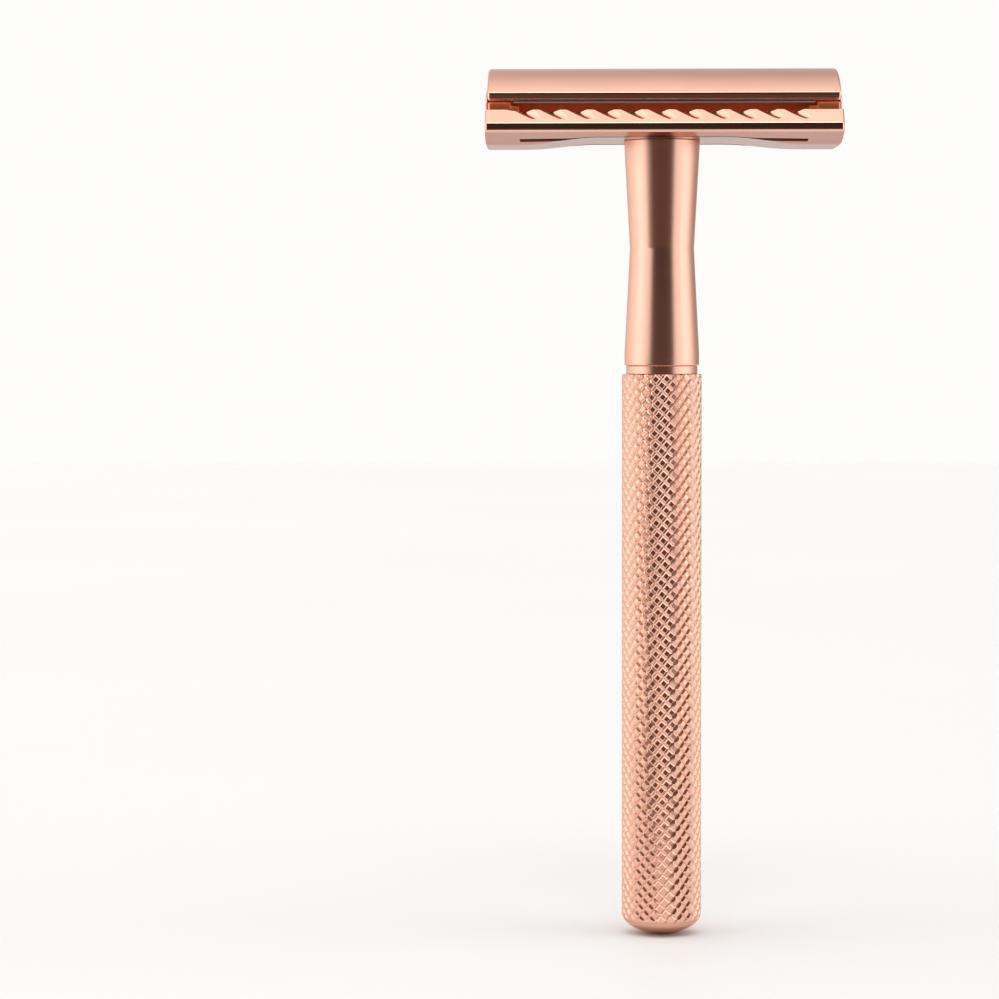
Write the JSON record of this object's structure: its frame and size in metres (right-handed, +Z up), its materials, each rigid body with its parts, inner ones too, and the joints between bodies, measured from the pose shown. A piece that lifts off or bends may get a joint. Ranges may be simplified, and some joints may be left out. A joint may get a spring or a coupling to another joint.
{
  "type": "double-edge safety razor",
  "caption": "Safety razor with a slim round knurled handle, waisted neck, arched cap and scalloped guard plate that clamp a double-edge blade; the handle unscrews to lift the cap.",
  "frame": {"origin": "centre of the bottom of the object's box, which is the lowest point of the handle's domed end", "axes": "+Z up along the handle to the head, +X along the length of the head, +Y through the head's depth from one cutting edge to the other"},
  "size_m": [0.0444, 0.0248, 0.11],
  "materials": {
    "polished_rose_gold": "polished rose gold plating",
    "satin_rose_gold": "satin turned rose gold plating",
    "knurled_rose_gold": "cut diamond knurl, rose gold plating",
    "plain_steel": "plain machined steel",
    "blade_steel": "ground blade steel",
    "plain_brass": "plain machined brass"
  },
  "bodies": {
    "guard": {"guard_plate": "polished_rose_gold"},
    "handle": {"neck": "satin_rose_gold", "thread_insert": "plain_brass", "collar_ring": "satin_rose_gold", "grip": "knurled_rose_gold", "tie_rod": "plain_steel", "end_cap": "satin_rose_gold"},
    "cap": {"top_cap": "polished_rose_gold", "cap_stud": "plain_steel", "locating_pin_left": "plain_steel", "locating_pin_right": "plain_steel"},
    "blade": {"double_edge_blade": "blade_steel"}
  },
  "joints": [
    {"name": "handle_turn", "type": "hinge", "parent": "guard", "child": "handle", "pos_m": [0, 0, 0.10095], "axis": [0, 0, 1], "range_deg": [-2880, 0]},
    {"name": "cap_lift", "type": "slide", "parent": "guard", "child": "cap", "axis": [0, 0, 1], "range_m": [0, 0.00641]},
    {"name": "blade_lift", "type": "slide", "parent": "guard", "child": "blade", "axis": [0, 0, 1], "range_m": [0, 0.00321]}
  ],
  "couplings": [
    {"joint": "cap_lift", "follows": "handle_turn", "m_per_rad": -0.00012732},
    {"joint": "blade_lift", "follows": "handle_turn", "m_per_rad": -0.000063662}
  ]
}
